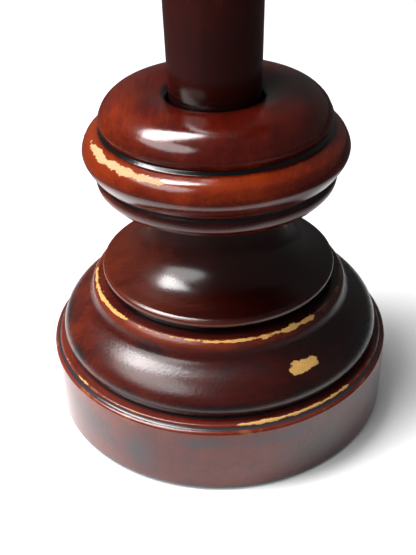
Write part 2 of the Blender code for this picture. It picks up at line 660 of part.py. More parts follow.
round_top = make_table_top()
top_pivot = pivot("top_pivot", HINGE)
hang_on(top_pivot, round_top, *make_bearers(round_top), *make_catch(round_top))

catch_pivot = pivot("catch_guide", (0.0, BOLT_TIP, BOLT_MIDDLE))
hang_on(catch_pivot, *make_catch_bolt())
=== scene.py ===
"""Looks of a tilt top table: turned mahogany under worn gloss lacquer, with steel and brass fittings.

Outlines are in millimetres and meshes in metres. The column stands on the origin, +Z is up, and -Y is
the front. Each turned piece is spun from an outline whose points also say how much dark glaze has
settled there, how much the edge is rubbed, and how thin the stain is. In a few places that glaze is
painted shade, and that thin stain is painted light.
"""

import json
import logging
import math
from dataclasses import dataclass, field
from enum import Enum
from typing import NamedTuple, Sequence

import bmesh
import bpy
from mathutils import Matrix, Vector

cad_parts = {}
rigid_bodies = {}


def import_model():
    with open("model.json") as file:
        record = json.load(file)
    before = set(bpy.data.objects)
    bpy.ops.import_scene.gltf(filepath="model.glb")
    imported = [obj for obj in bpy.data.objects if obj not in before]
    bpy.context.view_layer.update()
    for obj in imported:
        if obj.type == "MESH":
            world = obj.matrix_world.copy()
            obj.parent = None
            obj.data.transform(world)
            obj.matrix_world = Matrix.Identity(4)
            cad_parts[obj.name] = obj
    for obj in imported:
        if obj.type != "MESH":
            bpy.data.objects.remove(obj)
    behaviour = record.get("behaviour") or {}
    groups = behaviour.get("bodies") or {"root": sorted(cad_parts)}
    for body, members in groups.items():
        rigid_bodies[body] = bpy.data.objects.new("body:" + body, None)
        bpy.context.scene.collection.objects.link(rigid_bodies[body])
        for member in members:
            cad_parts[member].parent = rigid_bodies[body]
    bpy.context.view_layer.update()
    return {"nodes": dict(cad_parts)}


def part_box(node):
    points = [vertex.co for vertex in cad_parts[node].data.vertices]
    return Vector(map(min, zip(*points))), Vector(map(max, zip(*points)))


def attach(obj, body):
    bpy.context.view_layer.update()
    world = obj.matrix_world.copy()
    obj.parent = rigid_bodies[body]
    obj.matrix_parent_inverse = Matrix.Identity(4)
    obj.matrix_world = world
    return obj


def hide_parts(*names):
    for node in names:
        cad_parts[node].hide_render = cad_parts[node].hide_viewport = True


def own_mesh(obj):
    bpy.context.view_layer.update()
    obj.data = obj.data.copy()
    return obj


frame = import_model()

LOG = logging.getLogger("tilt_top_table")
MM = 0.001
ROOM_COLOUR = (1.0, 0.99, 0.98, 1.0)
ROOM_STRENGTH = 0.92       # as the camera sees it
ROOM_REFLECTED = 0.10      # as gloss sees it
ROOM_AMBIENT = 0.15        # what it adds to diffuse light
OVER_COLUMN = 0.5          # metres; pieces above this let the studio's left lights through
BOARD_WIDTH = 0.09         # metres; boards that a disc is glued up from
BOARD_SHIFT = 0.456        # share of a board that lies left of the column's axis, where a joint is
SETTLING = 2.4             # how steeply glaze and wear fall off along a curve
SHARP_BEND = math.radians(24)    # an outline's corners that turn further are rounded
SIDE_SHARE = 0.45          # the most of a corner's side that its rounding takes up
INNER_GLAZE = 0.8          # glaze that settles in an inner corner
MERGING = 1e-6             # metres; vertices closer than this become one
FLAT_ANGLE = math.radians(1.0)   # a CAD node's faces closer than this in angle are one face
EDGE_ANGLE = math.radians(40)    # its edges sharper than this are rounded
Colour = tuple[float, float, float]
Material = bpy.types.Material
Object = bpy.types.Object
Socket = bpy.types.NodeSocket
Tree = bpy.types.NodeTree


# ---- Outlines and chips ----

class Station(NamedTuple):
    """One point of a turned outline, in millimetres, with three shares from 0 to 1.

    Glaze is dark glaze that has settled, wear is a rubbed edge, and thin is stain that is rubbed thin. On
    the dome's lower curve the glaze is painted shade, and on the dish's rim the thin stain is partly
    painted light.
    """

    radius: float
    height: float
    glaze: float = 0.0
    wear: float = 0.0
    thin: float = 0.0


def bearing(point: Vector) -> float:
    """Give the angle round the column at which a point lies, in degrees from the front."""
    return math.degrees(math.atan2(point.x, -point.y))


@dataclass(frozen=True)
class Chip:
    """A patch where the lacquer has gone and pale wood shows.

    Args:
        start: where it starts round the piece, in degrees from the front, positive to the right.
        stop: where it stops.
        radius: radius of its middle, in millimetres.
        height: height of its middle, in millimetres.
        width: its half width along the outline, in millimetres.
        depth: how solid it is; under 1 it breaks up into flakes.
    """

    start: float
    stop: float
    radius: float
    height: float
    width: float
    depth: float = 1.0

    def strength(self, point: Vector) -> float:
        """Say how deep inside the chip a point lies.

        Args:
            point: a point of the mesh, in millimetres.

        Returns:
            From 0, outside, to the chip's depth on its middle line.
        """
        around = bearing(point)
        radius = math.hypot(point.x, point.y)
        outside = max(self.start - around, around - self.stop, 0.0)
        along = math.radians(outside) * radius / (2.0 * self.width)
        across = math.hypot(radius - self.radius, point.z - self.height) / self.width
        return self.depth * max(0.0, 1.0 - math.hypot(along, across) / 2.0)


@dataclass(frozen=True)
class Smudge:
    """A soft dark patch in the glaze.

    Args:
        around: where its middle lies round the piece, in degrees from the front.
        height: height of its middle, in millimetres.
        spread: its half width round the piece, in degrees.
        rise: its half height, in millimetres.
    """

    around: float
    height: float
    spread: float
    rise: float

    def strength(self, point: Vector) -> float:
        """Say how dark the patch is at a point of the mesh, in millimetres: 1 in its middle, 0 outside."""
        around = bearing(point)
        reach = math.hypot((around - self.around) / self.spread, (point.z - self.height) / self.rise)
        return max(0.0, 1.0 - reach / 1.5)


def flowing(stations: Sequence[Station], pieces: int = 8) -> list[Station]:
    """Run a smooth curve through stations.

    Args:
        stations: the points it goes through.
        pieces: how many pieces each span is cut into.

    Returns:
        The stations of the curve, the first and last as given; their shares stay near the points that
        give them.
    """
    ends = [stations[0], *stations, stations[-1]]
    curve = [stations[0]]
    for before, start, stop, after in zip(ends, ends[1:], ends[2:], ends[3:]):
        for i in range(1, pieces + 1):
            t = i / pieces
            place = [0.5 * (2 * b + (c - a) * t + (2 * a - 5 * b + 4 * c - d) * t ** 2
                            + (3 * b - a - 3 * c + d) * t ** 3)
                     for a, b, c, d in zip(before[:2], start[:2], stop[:2], after[:2])]
            shares = [high + (low - high) * (1 - t) ** SETTLING if low > high
                      else low + (high - low) * t ** SETTLING
                      for low, high in zip(start[2:], stop[2:])]
            curve.append(Station(*place, *shares))
    return curve


def arc(centre: tuple[float, float], radius: float, start: float, stop: float,
        pieces: int = 10) -> list[Station]:
    """Give the stations of an arc about a centre, with its angles in degrees."""
    angles = [math.radians(start + (stop - start) * i / pieces) for i in range(pieces + 1)]
    return [Station(centre[0] + radius * math.cos(a), centre[1] + radius * math.sin(a)) for a in angles]


def up_from(radius: float, height: float, offsets: Sequence[Sequence[float]]) -> list[Station]:
    """Turn (inset, rise, glaze, wear, thin) rows, from the bottom up, into stations from the top down."""
    return [Station(radius - row[0], height + row[1], *row[2:]) for row in reversed(offsets)]


def eased(stations: Sequence[Station], reach: float = 0.55, pieces: int = 4) -> list[Station]:
    """Round every sharp corner of an outline, rub the outer ones and glaze the inner ones.

    Args:
        stations: the outline, down its outer side.
        reach: how far the rounding goes along each side of a corner, in millimetres.
        pieces: how many pieces each rounding is cut into.

    Returns:
        The eased outline.
    """
    out = [stations[0]]
    for before, corner, after in zip(stations, stations[1:], stations[2:]):
        place = Vector(corner[:2])
        to_before = Vector(before[:2]) - place
        to_after = Vector(after[:2]) - place
        bend = math.pi - to_before.angle(to_after, math.pi)
        if bend < SHARP_BEND:
            out.append(corner)
            continue
        outer = to_before.x * to_after.y - to_before.y * to_after.x > 0
        start = place + to_before.normalized() * min(reach, to_before.length * SIDE_SHARE)
        stop = place + to_after.normalized() * min(reach, to_after.length * SIDE_SHARE)
        for i in range(pieces + 1):
            t = i / pieces
            point = start * (1 - t) ** 2 + place * 2 * t * (1 - t) + stop * t ** 2
            wear = max(corner.wear, 1.0 if outer and corner.glaze < 0.5 else 0.0)
            glaze = max(corner.glaze, 0.0 if outer else INNER_GLAZE)
            out.append(Station(point.x, point.y, glaze, wear, corner.thin))
    out.append(stations[-1])
    return out


def filled(stations: Sequence[Station], longest: float = 3.0, reach: float = 3.2) -> list[Station]:
    """Cut the long spans of an outline up, and let glaze, wear and thin stain die away along them.

    Args:
        stations: the outline.
        longest: the longest span left, in millimetres.
        reach: how far from a station its shares die away, in millimetres.

    Returns:
        The outline with more stations.
    """
    out = [stations[0]]
    for start, stop in zip(stations, stations[1:]):
        length = math.dist(start[:2], stop[:2])
        count = math.ceil(length / longest)
        for i in range(1, count):
            t = i / count
            near, far = (max(0.0, 1.0 - length * share / reach) for share in (t, 1.0 - t))
            place = [low + (high - low) * t for low, high in zip(start[:2], stop[:2])]
            shares = [max(low * near, high * far) for low, high in zip(start[2:], stop[2:])]
            out.append(Station(*place, *shares))
        out.append(stop)
    return out


# ---- Meshes ----

def spun(name: str, stations: Sequence[Station], steps: int = 240, chips: Sequence[Chip] = (),
         smudges: Sequence[Smudge] = (), place: Matrix | None = None) -> Object:
    """Spin an outline about the column's axis, or about another line.

    Args:
        name: the piece's name.
        stations: its outline, down the outer side; one that starts off the axis is closed on itself.
        steps: how many steps go round.
        chips: the worn patches on it.
        smudges: the dark patches on it.
        place: moves the finished piece from the column's axis to its own, in metres.

    Returns:
        The piece, with its glaze, wear, thin stain, chips and smudges as attributes.
    """
    bm = bmesh.new()
    layers = [bm.verts.layers.float.new(name) for name in ("glaze", "wear", "thin")]
    chip = bm.verts.layers.float.new("chip")
    smudge = bm.verts.layers.float.new("smudge")
    line = []
    for station in stations:
        vert = bm.verts.new((station.radius * MM, 0.0, station.height * MM))
        for layer, share in zip(layers, station[2:]):
            vert[layer] = share
        line.append(vert)
    edges = [bm.edges.new(pair) for pair in zip(line, line[1:])]
    if stations[0].radius > 0:
        edges.append(bm.edges.new((line[-1], line[0])))
    bmesh.ops.spin(bm, geom=line + edges, cent=(0, 0, 0), axis=(0, 0, 1), dvec=(0, 0, 0),
                   angle=math.tau, steps=steps, use_merge=True, use_duplicate=False)
    bmesh.ops.remove_doubles(bm, verts=bm.verts, dist=MERGING)
    bmesh.ops.recalc_face_normals(bm, faces=bm.faces)
    for layer, patches in ((chip, chips), (smudge, smudges)):
        for vert in bm.verts if patches else ():
            point = vert.co / MM
            vert[layer] = max(each.strength(point) for each in patches)
    if place:
        bm.transform(place)
    return piece_from(name, bm)


def softened(name: str, node: str, width: float, segments: int = 2) -> Object:
    """Copy a CAD node, merge it and round its edges.

    Args:
        name: the new piece's name.
        node: the CAD node.
        width: width of the rounding, in millimetres; none for 0.
        segments: how many faces the rounding has.

    Returns:
        The new piece.
    """
    bm = bmesh.new()
    bm.from_mesh(frame["nodes"][node].data)
    bmesh.ops.remove_doubles(bm, verts=bm.verts, dist=MERGING)
    bmesh.ops.dissolve_limit(bm, angle_limit=FLAT_ANGLE, verts=bm.verts, edges=bm.edges)
    edges = [edge for edge in bm.edges if edge.is_manifold and edge.calc_face_angle() > EDGE_ANGLE]
    if width > 0.0:
        bmesh.ops.bevel(bm, geom=edges, offset=width * MM, segments=segments, profile=0.5,
                        affect="EDGES", clamp_overlap=True, material=-1)
    bmesh.ops.recalc_face_normals(bm, faces=bm.faces)
    return piece_from(name, bm, 30.0)


def piece_from(name: str, bm: bmesh.types.BMesh, sharp: float = 40.0) -> Object:
    """Turn a finished bmesh into a smooth-shaded piece whose edges over the given angle stay sharp."""
    mesh = bpy.data.meshes.new(name)
    bm.to_mesh(mesh)
    bm.free()
    mesh.shade_smooth()
    mesh.set_sharp_from_angle(angle=math.radians(sharp))
    piece = bpy.data.objects.new(name, mesh)
    bpy.context.scene.collection.objects.link(piece)
    return piece


# ---- Node work ----

class Nodes:
    """Short hand for laying nodes in a material, a world or a group."""

    def __init__(self, tree: Tree) -> None:
        """Keep the tree that nodes are laid in."""
        self.tree = tree

    def add(self, kind: str, inputs: dict | None = None, **settings: object) -> bpy.types.Node:
        """Lay one node.

        Args:
            kind: the node's type, without its ShaderNode prefix.
            inputs: values or sockets by input name or number.
            settings: the node's own properties.

        Returns:
            The node.
        """
        node = self.tree.nodes.new("ShaderNode" + kind)
        for key, value in settings.items():
            setattr(node, key, value)
        self.fill(node, inputs or {})
        return node

    def fill(self, node: bpy.types.Node, inputs: dict) -> None:
        """Set or link several inputs of one node, by name or number."""
        for key, value in inputs.items():
            if isinstance(value, Socket):
                self.tree.links.new(value, node.inputs[key])
            else:
                node.inputs[key].default_value = value

    def group(self, tree: Tree, **inputs: object) -> bpy.types.NodeOutputs:
        """Lay a node group and give its outputs."""
        return self.add("Group", inputs, node_tree=tree).outputs

    def maths(self, operation: str, *values: object, clamp: bool = False) -> Socket:
        """Lay a Math node and give its output."""
        node = self.add("Math", dict(enumerate(values)), operation=operation, use_clamp=clamp)
        return node.outputs[0]

    def times(self, *values: object, clamp: bool = False) -> Socket:
        """Multiply two values."""
        return self.maths("MULTIPLY", *values, clamp=clamp)

    def plus(self, *values: object, clamp: bool = False) -> Socket:
        """Add two values."""
        return self.maths("ADD", *values, clamp=clamp)

    def place(self) -> Socket:
        """Give the point's place on the piece."""
        return self.add("TexCoord").outputs["Object"]

    def noise(self, vector: Socket, scale: float, detail: float = 2.0,
              roughness: float = 0.5) -> Socket:
        """Lay a Noise Texture and give its value."""
        node = self.add("TexNoise", {"Vector": vector, "Scale": scale, "Detail": detail,
                                     "Roughness": roughness})
        return node.outputs[0]

    def between(self, value: object, low: float, high: float, start: float = 0.0,
                stop: float = 1.0) -> Socket:
        """Map a value smoothly from low..high to start..stop."""
        node = self.add("MapRange", {0: value, 1: low, 2: high, 3: start, 4: stop},
                        interpolation_type="SMOOTHSTEP")
        return node.outputs[0]

    def blend(self, share: object, first: object, second: object) -> Socket:
        """Mix two colours and give the result."""
        node = self.add("Mix", {0: share, 6: first, 7: second}, data_type="RGBA")
        return node.outputs[2]

    def attribute(self, name: str) -> Socket:
        """Read one of the mesh's own values."""
        return self.add("Attribute", attribute_name=name).outputs["Fac"]


def new_group(name: str, inputs: dict[str, str], outputs: dict[str, str]) -> Nodes:
    """Start a shader node group.

    Args:
        name: the group's name.
        inputs: socket kind by socket name.
        outputs: socket kind by socket name.

    Returns:
        A Nodes for the group, whose Group Input and Group Output are laid.
    """
    tree = bpy.data.node_groups.new(name, "ShaderNodeTree")
    for direction, sockets in (("INPUT", inputs), ("OUTPUT", outputs)):
        for socket, kind in sockets.items():
            tree.interface.new_socket(socket, in_out=direction, socket_type="NodeSocket" + kind)
    nodes = Nodes(tree)
    tree.nodes.new("NodeGroupInput")
    tree.nodes.new("NodeGroupOutput")
    return nodes


def group_ends(nodes: Nodes) -> tuple[bpy.types.NodeOutputs, bpy.types.NodeInputs]:
    """Give a group's inner input and output sockets."""
    tree = nodes.tree
    return tree.nodes["Group Input"].outputs, tree.nodes["Group Output"].inputs


class Effects:
    """The node groups that several finishes share, each built once."""

    def __init__(self) -> None:
        """Build the groups."""
        self.timber = self._timber()
        self.glaze = self._glaze()
        self.wear = self._wear()

    @staticmethod
    def _timber() -> Tree:
        """Build the figure of stained timber: cloudy colour, long fibres, short dark pores, a tone for
        each board, and painted light that makes the left side lighter.
        """
        nodes = new_group("timber_and_painted_left_light",
                          {"Grain": "Vector", "Place": "Vector", "Dark": "Color", "Stain": "Color",
                           "Amber": "Color", "Cloud": "Float", "Thin": "Float", "Fade": "Float",
                           "Boards": "Float"},
                          {"Color": "Color", "Height": "Float"})
        inner, outer = group_ends(nodes)
        cloud = nodes.noise(inner["Place"], 16.0, 3.0, 0.55)
        drift = nodes.noise(inner["Grain"], 5.0, 4.0, 0.6)
        fibre = nodes.noise(inner["Grain"], 38.0, 5.0, 0.65)
        pores = nodes.noise(inner["Grain"], 130.0, 2.0, 0.5)
        across = nodes.add("SeparateXYZ", {0: inner["Place"]}).outputs["X"]
        # Painted light: the colour grows lighter towards -X, the side that the lamps stand on; board tones
        # are added to it next.
        left_light_and_boards = nodes.times(across, nodes.times(inner["Fade"], -10.0))
        board = nodes.maths("FLOOR", nodes.maths("MULTIPLY_ADD", across, 1 / BOARD_WIDTH, BOARD_SHIFT))
        tone = nodes.add("TexWhiteNoise", {"W": board}, noise_dimensions="1D").outputs["Value"]
        left_light_and_boards = nodes.plus(left_light_and_boards, nodes.maths(
            "MULTIPLY", nodes.maths("SUBTRACT", tone, 0.5), inner["Boards"]))
        shade = nodes.plus(nodes.times(cloud, inner["Cloud"]),
                            nodes.times(drift, 0.55))
        shade = nodes.plus(shade, nodes.times(fibre, 0.35))
        shade = nodes.plus(nodes.plus(shade, left_light_and_boards), nodes.maths(
            "MULTIPLY", inner["Thin"], 0.5))
        body = nodes.blend(nodes.between(shade, 0.40, 0.95), inner["Dark"], inner["Stain"])
        warm = nodes.blend(nodes.between(shade, 0.80, 1.30), body, inner["Amber"])
        flecks = nodes.between(pores, 0.60, 0.74, 0.0, 0.30)
        colour = nodes.blend(flecks, warm, inner["Dark"])
        nodes.tree.links.new(colour, outer["Color"])
        nodes.tree.links.new(nodes.plus(nodes.times(fibre, 0.5),
                                         nodes.times(pores, -0.5)), outer["Height"])
        return nodes.tree

    @staticmethod
    def _glaze() -> Tree:
        """Build the dark glaze that has settled in the quirks and smeared out of them."""
        nodes = new_group("settled_glaze",
                          {"Color": "Color", "Glaze": "Float", "Smudge": "Float", "Place": "Vector",
                           "Smear": "Float", "Settled": "Color"},
                          {"Color": "Color", "Mask": "Float"})
        inner, outer = group_ends(nodes)
        patch = nodes.noise(inner["Place"], 34.0, 5.0, 0.62)
        ragged = nodes.maths("MULTIPLY_ADD", patch, 1.2, -0.6)
        mottle = nodes.maths("MULTIPLY_ADD", nodes.noise(inner["Place"], 90.0, 6.0, 0.7), 1.4, -0.7)
        smoky = nodes.plus(ragged, mottle)
        smudged = nodes.between(nodes.plus(inner["Smudge"], smoky), 0.0, 1.3)
        smudged = nodes.times(smudged, nodes.between(inner["Smudge"], 0.0, 0.3))
        smear = nodes.times(nodes.between(patch, 0.50, 0.68), inner["Smear"])
        settled = nodes.between(nodes.maths("MULTIPLY_ADD", ragged, 0.5, inner["Glaze"]), 0.15, 0.8)
        mask = nodes.maths("MAXIMUM", nodes.maths("MAXIMUM", settled, smear), smudged, clamp=True)
        nodes.tree.links.new(nodes.blend(mask, inner["Color"], inner["Settled"]), outer["Color"])
        nodes.tree.links.new(mask, outer["Mask"])
        return nodes.tree

    @staticmethod
    def _wear() -> Tree:
        """Build the bare wood that shows on rubbed arrises and in chips."""
        nodes = new_group("bare_wood",
                          {"Color": "Color", "Wear": "Float", "Chip": "Float", "Place": "Vector",
                           "Rub": "Float", "Bare": "Color"},
                          {"Color": "Color", "Mask": "Float"})
        inner, outer = group_ends(nodes)
        ragged = nodes.maths("MULTIPLY_ADD", nodes.noise(inner["Place"], 330.0, 4.0, 0.7), 1.6, -0.8)
        uneven = nodes.maths("MULTIPLY_ADD", nodes.noise(inner["Place"], 95.0, 2.0), 1.2, -0.6)
        edge = nodes.plus(nodes.plus(ragged, uneven), inner["Chip"])
        chipped = nodes.times(nodes.between(edge, 0.49, 0.52),
                              nodes.maths("GREATER_THAN", inner["Chip"], 0.02))
        patch = nodes.noise(inner["Place"], 55.0, 3.0, 0.6)
        rubbed = nodes.times(inner["Wear"], nodes.between(patch, 0.56, 0.64))
        rubbed = nodes.times(rubbed, inner["Rub"])
        mask = nodes.maths("MAXIMUM", chipped, rubbed, clamp=True)
        streak = nodes.noise(inner["Place"], 600.0, 3.0, 0.6)
        bare = nodes.blend(nodes.between(streak, 0.35, 0.7, 0.0, 0.35), inner["Bare"],
                           (0.30, 0.13, 0.030, 1.0))
        nodes.tree.links.new(nodes.blend(mask, inner["Color"], bare), outer["Color"])
        nodes.tree.links.new(mask, outer["Mask"])
        return nodes.tree


class Grain(Enum):
    """The way that a piece's timber runs, as the stretch of the figure along X, Y and Z."""

    ALONG_X = (1.0, 12.0, 12.0)
    ALONG_Y = (12.0, 1.0, 12.0)
    ALONG_Z = (12.0, 12.0, 1.0)


# ---- Finishes ----

RELIEF = 0.00001           # metres; the unit of the lacquer's relief
SAG = 2.2                  # how far it sags, in that unit
PORE_DEPTH = 2.5           # how far the timber shows through it
LACQUER_DEPTH = 14.0       # how far bare wood lies under its face
HAZE = 0.06                # how much its roughness drifts
BARE_ROUGHNESS = 0.6       # added where the wood is bare
BLOOM = 0.07               # faint wide sheen over the gloss
BLOOM_ROUGHNESS = 0.36

@dataclass(frozen=True)
class Lacquer:
    """Gloss lacquer over stained timber, with glaze, rubbed arrises and chips.

    Args:
        name: the material's name.
        grain: the way the timber runs.
        dark, stain, amber: its colours, from the deepest to the thinnest stain.
        bare: the wood under it.
        settled: the glaze in its quirks.
        cloud: how much the colour drifts over the piece.
        painted_left_light: how much lighter its left side is painted than its right: painted light from
            the lamps on the left.
        boards: how much the boards that it is glued up from differ.
        smear: how much dark glaze is smeared over it.
        rub: how much its arrises are rubbed.
        gloss: roughness of sound lacquer.
        peel: how far the lacquer's skin is dimpled, in the relief's unit.
    """

    name: str
    grain: Grain = Grain.ALONG_Y
    dark: Colour = (0.0080, 0.0006, 0.0003)
    stain: Colour = (0.0520, 0.0026, 0.0005)
    amber: Colour = (0.1800, 0.0180, 0.0015)
    bare: Colour = (0.46, 0.26, 0.070)
    settled: Colour = (0.0025, 0.0016, 0.0020)
    cloud: float = 0.55
    # painted light: lighter towards the left, the side of the lamps
    painted_left_light: float = 0.12
    boards: float = 0.0
    smear: float = 0.0
    rub: float = 0.7
    gloss: float = 0.13
    peel: float = 5.0

    def make(self, effects: Effects) -> Material:
        """Build the material.

        Args:
            effects: the shared node groups.

        Returns:
            The material.
        """
        material, nodes, shader = new_material(self.name)
        place = nodes.place()
        stretch = nodes.add("Mapping", {"Vector": place, "Scale": self.grain.value}).outputs[0]
        timber = nodes.group(effects.timber, Grain=stretch, Place=place, Dark=(*self.dark, 1.0),
                             Stain=(*self.stain, 1.0), Amber=(*self.amber, 1.0), Cloud=self.cloud,
                             Thin=nodes.attribute("thin"), Fade=self.painted_left_light, Boards=self.boards)
        glaze = nodes.group(effects.glaze, Color=timber["Color"], Glaze=nodes.attribute("glaze"),
                            Smudge=nodes.attribute("smudge"), Place=place, Smear=self.smear,
                            Settled=(*self.settled, 1.0))
        wear = nodes.group(effects.wear, Color=glaze["Color"], Wear=nodes.attribute("wear"), Place=place,
                           Chip=nodes.attribute("chip"), Rub=self.rub, Bare=(*self.bare, 1.0))
        bare = wear["Mask"]
        haze = nodes.between(nodes.noise(place, 30.0, 4.0), 0.3, 0.8, self.gloss, self.gloss + HAZE)
        rough = nodes.plus(haze, nodes.times(bare, BARE_ROUGHNESS), clamp=True)
        bloom = nodes.maths("MULTIPLY_ADD", bare, -BLOOM, BLOOM, clamp=True)
        nodes.fill(shader, {"Base Color": wear["Color"], "Roughness": rough, "Coat Weight": bloom})
        shader.inputs["IOR"].default_value = 1.5
        shader.inputs["Coat Roughness"].default_value = BLOOM_ROUGHNESS
        peel = nodes.noise(place, 520.0, 3.0, 0.6)
        sag = nodes.noise(place, 110.0, 2.0)
        height = nodes.plus(nodes.times(peel, self.peel),
                             nodes.times(sag, SAG))
        height = nodes.plus(height, nodes.times(timber["Height"], PORE_DEPTH))
        height = nodes.maths("SUBTRACT", height, nodes.times(bare, LACQUER_DEPTH))
        bump = nodes.add("Bump", {"Height": height, "Strength": 1.0, "Distance": RELIEF})
        nodes.fill(shader, {"Normal": bump.outputs[0]})
        return material


@dataclass(frozen=True)
class Satin:
    """Thin satin stain on the pieces under the top.

    Args:
        name: the material's name.
        grain: the way the timber runs.
    """

    name: str
    grain: Grain = Grain.ALONG_X

    def make(self, effects: Effects) -> Material:
        """Build the material with the shared timber figure and give it."""
        material, nodes, shader = new_material(self.name)
        place = nodes.place()
        stretch = nodes.add("Mapping", {"Vector": place, "Scale": self.grain.value}).outputs[0]
        timber = nodes.group(effects.timber, Grain=stretch, Place=place, Cloud=0.5,
                             Dark=(0.030, 0.009, 0.004, 1.0), Stain=(0.095, 0.028, 0.012, 1.0),
                             Amber=(0.190, 0.068, 0.026, 1.0))
        rough = nodes.between(nodes.noise(stretch, 30.0, 3.0), 0.2, 0.8, 0.36, 0.52)
        bump = nodes.add("Bump", {"Height": timber["Height"], "Strength": 0.6,
                                  "Distance": 0.00012})
        nodes.fill(shader, {"Base Color": timber["Color"], "Roughness": rough,
                            "Normal": bump.outputs[0]})
        return material


@dataclass(frozen=True)
class Metal:
    """Handled metal with a tarnish that gathers in clouds.

    Args:
        name: the material's name.
        bright, tarnish: the clean and the tarnished colour.
        polish: roughness where it is clean.
    """

    name: str
    bright: Colour
    tarnish: Colour
    polish: float = 0.22

    def make(self) -> Material:
        """Build the material and give it."""
        material, nodes, shader = new_material(self.name)
        place = nodes.place()
        cloud = nodes.between(nodes.noise(place, 130.0, 5.0, 0.65), 0.42, 0.72)
        colour = nodes.blend(cloud, (*self.bright, 1.0), (*self.tarnish, 1.0))
        rough = nodes.maths("MULTIPLY_ADD", cloud, 0.25, self.polish)
        scratch = nodes.add("Mapping", {"Vector": place, "Scale": (1.0, 22.0, 22.0)}).outputs[0]
        bump = nodes.add("Bump", {"Height": nodes.noise(scratch, 240.0, 2.0), "Strength": 0.3,
                                  "Distance": 0.000004})
        nodes.fill(shader, {"Base Color": colour, "Roughness": rough, "Normal": bump.outputs[0]})
        shader.inputs["Metallic"].default_value = 1.0
        return material


@dataclass(frozen=True)
class Baize:
    """Dense green felt."""

    name: str = "green_baize"

    def make(self) -> Material:
        """Build the material and give it."""
        material, nodes, shader = new_material(self.name)
        place = nodes.place()
        nap = nodes.noise(place, 700.0, 5.0, 0.7)
        colour = nodes.blend(nap, (0.008, 0.035, 0.018, 1.0), (0.030, 0.090, 0.050, 1.0))
        bump = nodes.add("Bump", {"Height": nap, "Strength": 0.8, "Distance": 0.0003})
        nodes.fill(shader, {"Base Color": colour, "Normal": bump.outputs[0]})
        shader.inputs["Roughness"].default_value = 0.95
        return material


def new_material(name: str) -> tuple[Material, Nodes, bpy.types.Node]:
    """Start a material and give it, its nodes and its Principled shader."""
    material = bpy.data.materials.new(name)
    material.use_nodes = True
    return material, Nodes(material.node_tree), material.node_tree.nodes["Principled BSDF"]


class Finishes:
    """Every finish on the table, built once."""

    def __init__(self) -> None:
        """Build the shared effects and then the materials."""
        effects = Effects()
        # The plinth's settled glaze is grey: partly dust in it, partly a painted sheen that stands for the
        # reflection along the ledge.
        self.plinth = Lacquer("plinth_lacquer", Grain.ALONG_Y, stain=(0.085, 0.0075, 0.0035),
                              amber=(0.140, 0.022, 0.011), smear=0.25, cloud=0.8, painted_left_light=0.2,
                              boards=0.12, rub=0.15, settled=(0.024, 0.020, 0.025)).make(effects)
        self.ogee = Lacquer("ogee_lacquer", Grain.ALONG_X, smear=0.5, rub=0.1, gloss=0.25,
                            peel=11.0, painted_left_light=0.28, stain=(0.036, 0.0020, 0.0006),
                            amber=(0.120, 0.014, 0.003), settled=(0.004, 0.003, 0.005)).make(effects)
        self.dish = Lacquer("dish_lacquer", Grain.ALONG_X, smear=0.12, rub=0.1, painted_left_light=0.6, gloss=0.19,
                            stain=(0.022, 0.0012, 0.0004), amber=(0.075, 0.0085, 0.0015)).make(effects)
        self.knop = Lacquer("knop_lacquer", Grain.ALONG_Y, cloud=0.75, rub=0.05,
                            stain=(0.046, 0.0023, 0.0005), amber=(0.150, 0.0155, 0.0015),
                            bare=(0.41, 0.25, 0.12), painted_left_light=0.22).make(effects)
        self.shaft = Lacquer("shaft_lacquer", Grain.ALONG_Z, rub=0.1,
                             stain=(0.026, 0.0016, 0.0008)).make(effects)
        self.top = Lacquer("top_lacquer", Grain.ALONG_X, rub=0.04, boards=0.15).make(effects)
        self.block = Satin("block_stain", Grain.ALONG_X).make(effects)
        self.bearer = Satin("bearer_stain", Grain.ALONG_Y).make(effects)
        self.brass = Metal("old_brass", (0.66, 0.47, 0.22), (0.40, 0.27, 0.12), 0.30).make()
        self.steel = Metal("turned_steel", (0.56, 0.56, 0.57), (0.30, 0.29, 0.28), 0.30).make()
        self.baize = Baize().make()


# ---- The table ----

class Slot(Enum):
    """The record's material slots."""

    TURNED = "turned_mahogany"
    TOP = "top_mahogany"
    UNDER = "under_wood"
    BAIZE = "baize"
    STEEL = "steel"
    BRASS = "brass"


def heights(node: str) -> tuple[float, float]:
    """Give a CAD node's lowest and highest point, in millimetres."""
    low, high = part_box(node)
    return low.z / MM, high.z / MM


def fit(piece: Object, node: str, body: str,
        material: Material) -> Object:
    """Put a new piece in the place of a CAD node.

    Args:
        piece: the new piece.
        node: the CAD node that it stands for.
        body: the CAD body that it moves with.
        material: its material.

    Returns:
        The piece.
    """
    piece.data.materials.clear()
    piece.data.materials.append(material)
    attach(piece, body)
    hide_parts(node)
    piece["over_the_column"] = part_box(node)[0].z > OVER_COLUMN
    LOG.info("%s: %d faces, rides on %s, stands for %s", piece.name, len(piece.data.polygons), body, node)
    return piece


